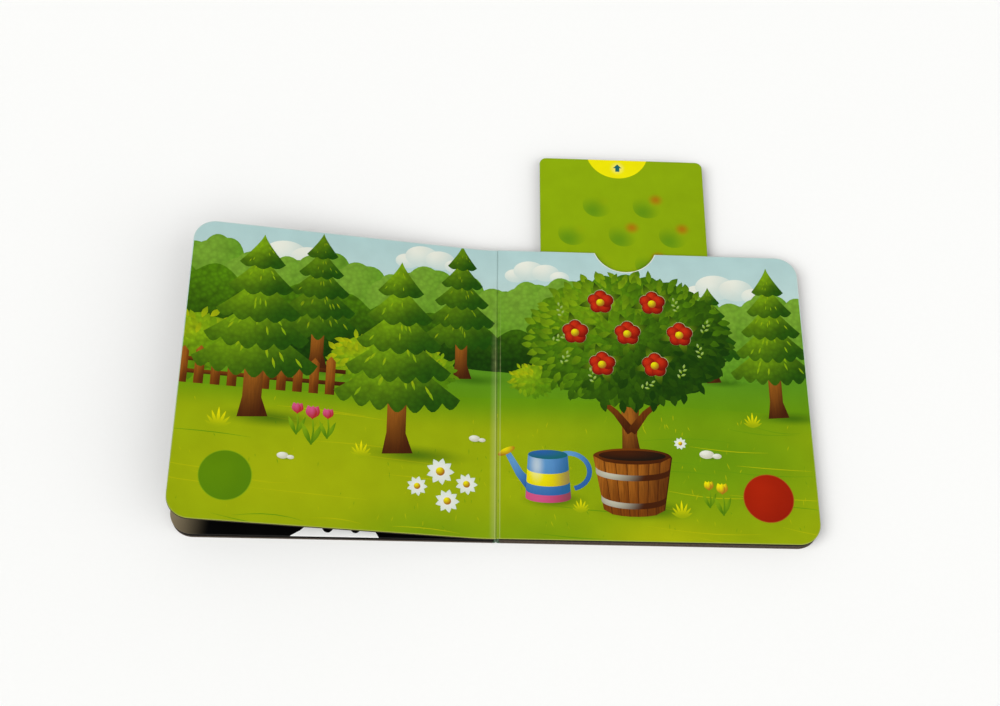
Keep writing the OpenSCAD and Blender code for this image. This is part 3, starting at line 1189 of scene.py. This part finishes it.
def garden_print():
    """The picture that runs across both pages."""
    ink = inks()
    sheet = PrintSheet()
    draw_land(sheet)
    draw_grass(sheet)
    deep = (ink.leaf_dark, ink.leaf_mid, ink.leaf_light)
    fresh = (ink.leaf_mid, ink.leaf_light, ink.lime_light)
    back = blend(ink.fir_dark, ink.fir_light, 0.6)
    for i, place in enumerate(FAR_FIRS):
        draw_fir(sheet, *place, back, f"back_fir_{i}")
    for i, place in enumerate(BUSHES):
        draw_shrub(sheet, *place, BUSH_LEAVES, fresh, f"bush_{i}")
    draw_fence(sheet, *FENCE)
    for i, place in enumerate(NEAR_FIRS):
        draw_fir(sheet, *place, ink.fir_light, f"fir_{i}")
    draw_tub(sheet, CARD_X, *TUB)
    draw_shrub(sheet, CARD_X, *SHRUB, SHRUB_LEAVES, deep, "shrub")
    for x, y in window_centres():
        draw_sepals(sheet, x, y)
    for i, (x, y) in enumerate(arc(CARD_X, 27, 43, 27, 15, 375, 11)[:-1]):
        draw_sprig(sheet, x, y, 8.5, 70 + 40 * math.sin(2.1 * i))
    draw_can(sheet, *CAN)
    for place in PINK_TULIPS:
        draw_tulip(sheet, *place, ink.pink, ink.red)
    for place in YELLOW_TULIPS:
        draw_tulip(sheet, *place, ink.yellow, ink.bark_light)
    for place in DAISIES:
        draw_daisy(sheet, *place)
    for place in TUFTS:
        draw_tuft(sheet, *place, ink.yellow, ink.lime)
    for place in PEBBLES:
        draw_pebbles(sheet, *place)
    draw_disc(sheet, *GREEN_DISC, ink.disc_green, ink.leaf_mid, ink.leaf_light)
    draw_disc(sheet, *RED_DISC, ink.red, ink.red_dark, ink.bark_light)
    # Painted highlight along the boards' lips and the notch
    draw_lip_highlights(sheet)
    # Painted sheen by the gutter, and worn score lines
    sheen_and_scuff = blend(ink.lime_light, ink.cloud, 0.35)
    for x, half, strength in GUTTER_SHEEN_AND_SCUFFS:
        sheet.glaze(x, -50, half, 130, sheen_and_scuff, strength)
    return sheet


# The pull card's print: half its width, where green turns to red, its half-disc's offset, and how far
# a petal runs on behind the edge of its window
CARD_PRINT_HALF = 60
CARD_SPLIT = 12
ARCH_SHIFT = (-2.2, -0.8)
PETAL_OVERLAP = 0.4


def card_print():
    """Green field with soft spots above, red flowers below, and a yellow half-disc with an arrow."""
    ink = inks()
    size = sizes()
    sheet = PrintSheet()
    split = PAGE_TOP - CARD_SPLIT
    x0, x1 = CARD_X - CARD_PRINT_HALF, CARD_X + CARD_PRINT_HALF
    low, top = CARD_LOW_Y - BLEED, CARD_TOP_Y + BLEED
    light = tint(ink.card, 1.1)
    slope = {"spot": (x0, top), "form": (1 / 150, 1 / 110)}
    sheet.field(rectangle(x0, split, x1, top), light, ink.card, **slope)
    sheet.field(rectangle(x0, low, x1, split), ink.red, ink.red_dark)
    reach = size.petal_reach / MM
    petal = size.petal / MM + PETAL_OVERLAP
    for i, (x, y) in enumerate(window_centres()):
        for px, py in arc(x, y, reach, reach, 90, 450, size.petals)[:-1]:
            blade = ellipse(px, py, petal, steps=24)
            sheet.field(blade, ink.red_light, ink.red_dark, (px - 1, py + 1.6), (0.19, 0.19))
        sheet.glaze(x, y, 4.4, 4.4, ink.red_dark, 0.8)
        sheet.field(ellipse(x, y, 2.3, steps=20), ink.yellow, ink.bark_light)
        drawn = y + PULL_OUT
        group = f"spot_{i}"
        sheet.field(ellipse(x, drawn, 8.6, 8.0), light, ink.card, **slope, group=group)
        sheet.glaze(x - 3, drawn - 4, 12, 11, ink.card_spot, 0.9, group)
        sheet.glaze(x + 4, drawn + 2.5, 5, 4.5, ink.lime, 0.3)
        if x > CARD_X - 1:
            sheet.glaze(x + 5, drawn + 4.5, 5.5, 5, ink.blush, 0.75)
    arch_r, arch_y = notch_circle(CARD_TOP_Y)
    arch_x = CARD_X + ARCH_SHIFT[0]
    sheet.field(ellipse(arch_x, arch_y + ARCH_SHIFT[1], arch_r, steps=72), ink.yellow)
    tip = CARD_TOP_Y - 2.9
    sheet.glaze(arch_x, tip - 2.6, 5, 5, ink.cloud, 0.3)
    arrow = [(0, 0), (-2.5, -2.6), (-1.2, -2.6), (-1.2, -5), (1.2, -5), (1.2, -2.6), (2.5, -2.6)]
    sheet.field([(arch_x + x, tip + y) for x, y in arrow], ink.teal)
    return sheet


def night_sheet():
    """A black sheet for the left half."""
    sheet = PrintSheet()
    top = PAGE_TOP + BLEED
    sheet.field(rectangle(-LEFT_W - BLEED, -top, BLEED, top), inks().night, group="night")
    return sheet


def draw_bank(sheet):
    """A white bank along the near edge, under two dark scallops."""
    right, wide = -65.5, 28.5
    crest, drop = 9.5, 7.4
    steps = 60
    bank = [(-110.5, -BLEED), (-57.5, -BLEED), (-60.5, 0), (-63.7, 5.1)]
    for i in range(steps + 1):
        t = i / steps
        hang = max(0.2 - math.cos(4 * math.pi * t), 0.0) / 1.2
        bank.append((right - wide * t, crest - drop * hang ** 0.4))
    bank += [(-96.5, 7.1), (-101, 3), (-106.1, 0)]
    sheet.field([(x, height - PAGE_TOP) for x, height in bank], inks().snow)


def draw_dots(sheet, tag, count, x0, y0, x1, y1):
    """Small pale dots, strewn over a box."""
    ink = inks()
    rng = random.Random(tag)
    for _ in range(count):
        x = rng.uniform(x0, x1)
        y = rng.uniform(y0, y1)
        sheet.field(ellipse(x, y, rng.uniform(0.5, 1.6), steps=10), ink.cloud, ink.haze)


def night_print():
    """Black page with painted light on its outer margin, where light falls in under the raised leaf, a
    white bank along its near edge, and dots.
    """
    sheet = night_sheet()
    # Painted light on the outer margin, where light reaches under the raised leaf
    sheet.glaze(-LEFT_W - BLEED, 0, 30, 160, inks().lit_night_margin, 1.0, "night")
    draw_bank(sheet)
    draw_dots(sheet, "night", 46, -150, -62, -12, 78)
    return sheet


def night_back():
    """Underside of the raised leaf: black, with dots."""
    sheet = night_sheet()
    draw_dots(sheet, "dots", 60, -158, -76, -14, 76)
    return sheet


# Die cuts


def window_centres():
    """Centres of the flower windows: one in the middle of a ring."""
    size = sizes()
    y = PAGE_TOP - size.ring_drop / MM
    ring = arc(CARD_X, y, size.ring_width / MM, size.ring_height / MM, 0, 360, size.ring_count)[:-1]
    return [(CARD_X, y), *ring]


def notch_circle(edge):
    """Radius and centre height of the circle that cuts the thumb notch from an edge."""
    half = sizes().notch_width / MM / 2
    depth = sizes().notch_depth / MM
    r = (half * half + depth * depth) / (2 * depth)
    return r, edge + r - depth


def flower_outline(cx, cy, grow):
    """A flower of round petals: only the outer stretch of each petal's circle."""
    size = sizes()
    count = size.petals
    r = size.petal / MM + grow
    reach = size.petal_reach / MM
    half = math.pi / count
    along = reach * math.cos(half)
    meet = along + math.sqrt(along * along - reach * reach + r * r)
    swing = math.degrees(math.atan2(meet * math.sin(half), meet * math.cos(half) - reach))
    points = []
    for i in range(count):
        way = 90 + i * 360 / count
        px = cx + reach * math.cos(math.radians(way))
        py = cy + reach * math.sin(math.radians(way))
        points += arc(px, py, r, r, way - swing, way + swing, PETAL_STEPS)[:-1]
    return points


def window_outline(grow):
    """The window page's outline, with the thumb notch in its upper edge."""
    r, y = notch_circle(PAGE_TOP)
    r -= grow
    top = PAGE_TOP + grow
    reach = math.degrees(math.acos((y - top) / r))
    notch = arc(CARD_X, y, r, r, -90 + reach, -90 - reach, NOTCH_STEPS)
    outline = board_outline(GUTTER_EDGE, PAGE_W, grow)
    return outline[:-1] + notch + outline[-1:]


def card_outline(grow):
    """The pull card's outline: ears below, round corners above."""
    size = sizes()
    ear = size.ear / MM
    half = node_edge("pull_card", 0, 1) - CARD_X - ear + grow
    r = size.card_corner / MM + grow
    low = CARD_LOW_Y - grow
    top = CARD_TOP_Y + grow
    shoulder = CARD_LOW_Y + size.ear_height / MM + grow
    right = [(half + ear, low), (half + ear, shoulder), (half, shoulder)]
    right += arc(half - r, top - r, r, r, 0, 90, CARD_CORNER_STEPS)
    left = [(-x, y) for x, y in reversed(right)]
    return [(CARD_X + x, y) for x, y in right + left]


# Leaf blocks

LEAF_SEED = 4
LEAF_WELD = 1e-6


def leaf_block_tree():
    """Node tree of a block of leaves: one cut board, repeated upwards and a little out of line."""
    tree = bpy.data.node_groups.new("leaf_block", "GeometryNodeTree")
    for name, kind in (
        ("Width", "Float"), ("Height", "Float"), ("Corner", "Float"), ("Leaf", "Float"),
        ("Gap", "Float"), ("Shift", "Float"), ("Leaves", "Int"), ("Board", "Material"),
    ):
        tree.interface.new_socket(name, in_out="INPUT", socket_type="NodeSocket" + kind)
    tree.interface.new_socket("Geometry", in_out="OUTPUT", socket_type="NodeSocketGeometry")
    g = Graph(tree)
    given = {socket.name: Wire(g, socket) for socket in tree.nodes.new("NodeGroupInput").outputs}

    extent = {"Width": given["Width"], "Height": given["Height"]}
    card = g.add("GeometryNodeCurvePrimitiveQuadrilateral", {}, extent)
    across = g.part(g.add("GeometryNodeInputPosition", {}, {}), "X")
    radius = (across > 0.0) * given["Corner"]
    corners = {"Curve": card, "Count": CORNER_STEPS, "Radius": radius}
    rounded = g.add("GeometryNodeFilletCurve", {"mode": "POLY"}, corners)
    sheet = g.add("GeometryNodeFillCurve", {}, {"Curve": rounded})
    pull = {"Mesh": sheet, "Offset Scale": given["Leaf"] - given["Gap"], "Individual": False}
    raised = g.add("GeometryNodeExtrudeMesh", {}, pull)
    under = g.add("GeometryNodeFlipFaces", {}, {"Mesh": sheet})
    joined = g.add("GeometryNodeJoinGeometry", {}, {0: [raised, under]})
    board = g.add("GeometryNodeMergeByDistance", {}, {"Geometry": joined, "Distance": LEAF_WELD})

    step = g.add("ShaderNodeCombineXYZ", {}, {"Z": given["Leaf"]})
    line = g.add("GeometryNodeMeshLine", {"mode": "OFFSET"}, {"Count": given["Leaves"], "Offset": step})
    shift = g.add("ShaderNodeCombineXYZ", {}, {"X": given["Shift"], "Y": given["Shift"]})
    spread = {"Min": g.scaled(shift, -1.0), "Max": shift, "Seed": LEAF_SEED}
    stray = g.add("FunctionNodeRandomValue", {"data_type": "FLOAT_VECTOR"}, spread)
    moved = g.add("GeometryNodeSetPosition", {}, {"Geometry": line, "Offset": stray})
    stack = g.add("GeometryNodeInstanceOnPoints", {}, {"Points": moved, "Instance": board})
    solid = g.add("GeometryNodeRealizeInstances", {}, {"Geometry": stack})
    dressed = g.add("GeometryNodeSetMaterial", {}, {"Geometry": solid, "Material": given["Board"]})
    g.add("NodeGroupOutput", {}, {"Geometry": dressed})
    return tree


def leaf_block(name, near, far, low, leaves, board):
    """Bakes a block of leaves between the gutter side and the outer edge."""
    size = sizes()
    tree = bpy.data.node_groups.get("leaf_block") or leaf_block_tree()
    shift = size.leaf_shift
    values = {
        "Width": abs(far - near) * MM - 2 * shift,
        "Height": 2 * PAGE_TOP * MM - 2 * shift,
        "Corner": size.corner,
        "Leaf": size.leaf,
        "Gap": size.leaf_gap,
        "Shift": shift,
        "Leaves": leaves,
        "Board": board,
    }
    blank = bpy.data.meshes.new(name + "_seed")
    seed = placed(name + "_seed", blank)
    modifier = seed.modifiers.new("leaves", "NODES")
    modifier.node_group = tree
    for socket in tree.interface.items_tree:
        if socket.in_out == "INPUT":
            modifier[socket.identifier] = values[socket.name]
    view = bpy.context.evaluated_depsgraph_get()
    mesh = bpy.data.meshes.new_from_object(seed.evaluated_get(view))
    bpy.data.objects.remove(seed)
    bpy.data.meshes.remove(blank)
    turn = Matrix.Rotation(0.0 if far > near else math.pi, 4, "Z")
    place = Vector((GUTTER_X + (near + far) / 2 * MM, PAGE_MID_Y, low * MM))
    mesh.transform(Matrix.Translation(place) @ turn)
    mesh.name = name
    return placed(name, mesh)


# Stage

# Camera fitted to the photograph, about a target in page millimetres
CAMERA_AZIMUTH = -6.21
CAMERA_ELEVATION = 64.52
CAMERA_ROLL = -7.1
CAMERA_DISTANCE = 792.9
CAMERA_TARGET = (1.8, 24.3)
CAMERA_LENS_MM = 51.71
SENSOR_MM = 36.0

# Soft studio lights: name, side they stand on, spread in degrees, power in watts a square metre
LIGHTS = (
    ("key_light", (-1.1, -0.5, 1.3), 44.0, 1.84),
    ("fill_light", (1.2, -0.7, 1.1), 50.0, 0.9),
    ("front_light", (0.1, -1.2, 1.2), 40.0, 0.62),
)

# Light of the dome at its horizon and overhead, and the heights between which it changes
HORIZON_LIGHT = 0.95
ZENITH_LIGHT = 0.28
DOME_FADE = (0.1, 0.5)

# Half the floor's side, in metres
FLOOR_HALF = 6.0


def studio_floor():
    """A wide sheet of pale paper under the book."""
    mesh = bpy.data.meshes.new("floor")
    corners = rectangle(-FLOOR_HALF, -FLOOR_HALF, FLOOR_HALF, FLOOR_HALF)
    mesh.from_pydata([(x, y, 0.0) for x, y in corners], [], [(0, 1, 2, 3)])
    mesh.materials.append(board_material("floor_paper"))
    return placed("floor", mesh)


def studio_lights():
    """Three wide suns."""
    for name, where, spread, power in LIGHTS:
        lamp = bpy.data.lights.new(name, "SUN")
        lamp.angle = math.radians(spread)
        lamp.energy = power
        light = placed(name, lamp)
        light.location = where
        light.rotation_euler = (-Vector(where)).to_track_quat("-Z", "Y").to_euler()


def studio_dome(scene):
    """White surroundings, brighter at the horizon than overhead."""
    world = scene.world or bpy.data.worlds.new("studio")
    scene.world = world
    world.use_nodes = True
    dome = Graph(world.node_tree)
    height = dome.part(dome.surface("Generated"), "Z")
    strength = HORIZON_LIGHT + dome.ease(height, *DOME_FADE) * (ZENITH_LIGHT - HORIZON_LIGHT)
    background = world.node_tree.nodes["Background"].inputs
    background["Color"].default_value = (1.0, 1.0, 1.0, 1.0)
    dome.plug(background["Strength"], strength)


def photo_camera():
    """The camera at the photograph's viewing angle."""
    lens = bpy.data.cameras.new("camera")
    lens.sensor_width = SENSOR_MM
    lens.lens = CAMERA_LENS_MM
    camera = placed("camera", lens)
    az = math.radians(CAMERA_AZIMUTH)
    el = math.radians(CAMERA_ELEVATION)
    away = Vector((math.sin(az) * math.cos(el), -math.cos(az) * math.cos(el), math.sin(el)))
    target = Vector((GUTTER_X + CAMERA_TARGET[0] * MM, PAGE_MID_Y + CAMERA_TARGET[1] * MM, 0.0))
    turn = away.to_track_quat("Z", "Y").to_matrix().to_4x4()
    roll = Matrix.Rotation(math.radians(-CAMERA_ROLL), 4, "Z")
    camera.matrix_world = Matrix.Translation(target + away * CAMERA_DISTANCE * MM) @ turn @ roll
    return camera


# Operators


class BOOK_OT_raised_leaf(bpy.types.Operator):
    """Makes the raised left leaf with its print"""

    bl_idname = "book.raised_leaf"
    bl_label = "Raised leaf"

    def execute(self, context):
        size = sizes()
        lip = size.lip / MM
        outline = board_outline(-GUTTER_EDGE - lip, -LEFT_W, -lip)
        start = GUTTER_EDGE + size.root / MM
        folds = [-start - size.bend / MM * i / BEND_STEPS for i in range(BEND_STEPS + 1)]
        thick = size.raised / MM
        surface = raised_surface(LEFT_TOP + thick)
        boards = printed_materials("shaded_cut_edge")
        leaf = make_board(
            "raised_leaf_print", outline, [], surface, thick, garden_print(), boards, folds, night_back()
        )
        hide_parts("raised_leaf")
        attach(leaf, "front_half")
        return {"FINISHED"}


class BOOK_OT_window_page(bpy.types.Operator):
    """Makes the right page with its notch and flower windows"""

    bl_idname = "book.window_page"
    bl_label = "Window page"

    def execute(self, context):
        lip = sizes().lip / MM
        outline = window_outline(-lip)
        holes = [flower_outline(x, y, sizes().window_lip / MM) for x, y in window_centres()]
        boards = printed_materials("shaded_cut_edge")
        thick = WINDOW_TOP - WINDOW_LOW
        level = flat_surface(WINDOW_TOP)
        page = make_board("window_page_print", outline, holes, level, thick, garden_print(), boards)
        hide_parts("window_page")
        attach(page, "back_half")
        half = GUTTER_EDGE - FOLD_PLAY
        low, high = -PAGE_TOP + lip, PAGE_TOP - lip
        strip = rectangle(-half, low, half, high)
        level = flat_surface(WINDOW_TOP - FOLD_DEPTH)
        fold = make_board("gutter_fold", strip, [], level, FOLD_THICKNESS, garden_print(), boards)
        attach(fold, "back_half")
        return {"FINISHED"}


class BOOK_OT_pull_card(bpy.types.Operator):
    """Makes the pull card with its print"""

    bl_idname = "book.pull_card"
    bl_label = "Pull card"

    def execute(self, context):
        lip = sizes().lip / MM
        boards = printed_materials("shaded_cut_edge")
        outline = card_outline(-lip)
        level = flat_surface(CARD_TOP)
        card = make_board("pull_card_print", outline, [], level, CARD_TOP - CARD_LOW, card_print(), boards)
        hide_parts("pull_card")
        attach(card, "pull_card")
        return {"FINISHED"}


class BOOK_OT_leaf_blocks(bpy.types.Operator):
    """Makes the leaves under the raised leaf and under the pocket"""

    bl_idname = "book.leaf_blocks"
    bl_label = "Leaf blocks"

    def execute(self, context):
        size = sizes()
        leaf = size.leaf / MM
        for name, body, near, far, printed, core in (
            ("right_pages", "back_half", BLOCK_EDGE, PAGE_W, 0, "grey_core"),
            # The left block's edges are near-black, as painted shade
            ("left_pages", "front_half", -BLOCK_EDGE, -LEFT_W, 1, "deep_shade_edge"),
        ):
            low = node_edge(name, 2, 0)
            leaves = round((node_edge(name, 2, 1) - low) / leaf) - printed
            block = leaf_block(name + "_leaves", near, far, low, leaves, board_material(core))
            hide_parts(name)
            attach(block, body)
        lip = size.lip / MM
        outline = board_outline(-BLOCK_EDGE - lip, -LEFT_W, -lip)
        thick = leaf - size.leaf_gap / MM
        # Walls of the left top page in painted shade
        boards = printed_materials("deep_shade_edge")
        level = flat_surface(LEFT_TOP)
        page = make_board("left_top_page", outline, [], level, thick, night_print(), boards)
        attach(page, "front_half")
        return {"FINISHED"}


class BOOK_OT_covers(bpy.types.Operator):
    """Gives the covers and the pocket's frame their finish"""

    bl_idname = "book.covers"
    bl_label = "Covers"

    def execute(self, context):
        # The pocket's frame in painted shade, as the dark gap under the page
        for node, finish in (
            ("back_cover", "back_wrap"), ("front_cover", "front_wrap"), ("pocket_spacer", "deep_shade_edge"),
        ):
            slots = frame["nodes"][node].data.materials
            slots.clear()
            slots.append(board_material(finish))
        return {"FINISHED"}


class BOOK_OT_stage(bpy.types.Operator):
    """Sets the floor, the lights and the camera"""

    bl_idname = "book.stage"
    bl_label = "Stage"

    def execute(self, context):
        floor = studio_floor()
        studio_lights()
        studio_dome(context.scene)
        context.scene.view_settings.view_transform = "Standard"
        context.scene.camera = photo_camera()
        return {"FINISHED"}


class BOOK_PT_panel(bpy.types.Panel):
    """Lists the book's steps, sizes and inks"""

    bl_label = "Board book"
    bl_idname = "BOOK_PT_panel"
    bl_space_type = "VIEW_3D"
    bl_region_type = "UI"
    bl_category = "Book"

    def draw(self, context):
        for step in STEPS:
            self.layout.operator(step.bl_idname)
        for group in (context.scene.book_sizes, context.scene.book_inks):
            for name in group.__annotations__:
                self.layout.prop(group, name)


STEPS = (
    BOOK_OT_stage,
    BOOK_OT_raised_leaf,
    BOOK_OT_window_page,
    BOOK_OT_pull_card,
    BOOK_OT_leaf_blocks,
    BOOK_OT_covers,
)
CLASSES = (BookSizes, BookInks, *STEPS, BOOK_PT_panel)


def register():
    """Registers the classes and hangs the sizes and inks on the scene."""
    for cls in CLASSES:
        bpy.utils.register_class(cls)
    bpy.types.Scene.book_sizes = PointerProperty(type=BookSizes)
    bpy.types.Scene.book_inks = PointerProperty(type=BookInks)


def unregister():
    """Takes them off again."""
    del bpy.types.Scene.book_inks
    del bpy.types.Scene.book_sizes
    for cls in reversed(CLASSES):
        bpy.utils.unregister_class(cls)


def main():
    """Registers the add-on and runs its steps."""
    register()
    bpy.ops.book.stage()
    bpy.ops.book.raised_leaf()
    bpy.ops.book.window_page()
    bpy.ops.book.pull_card()
    bpy.ops.book.leaf_blocks()
    bpy.ops.book.covers()


if __name__ == "__main__":
    main()
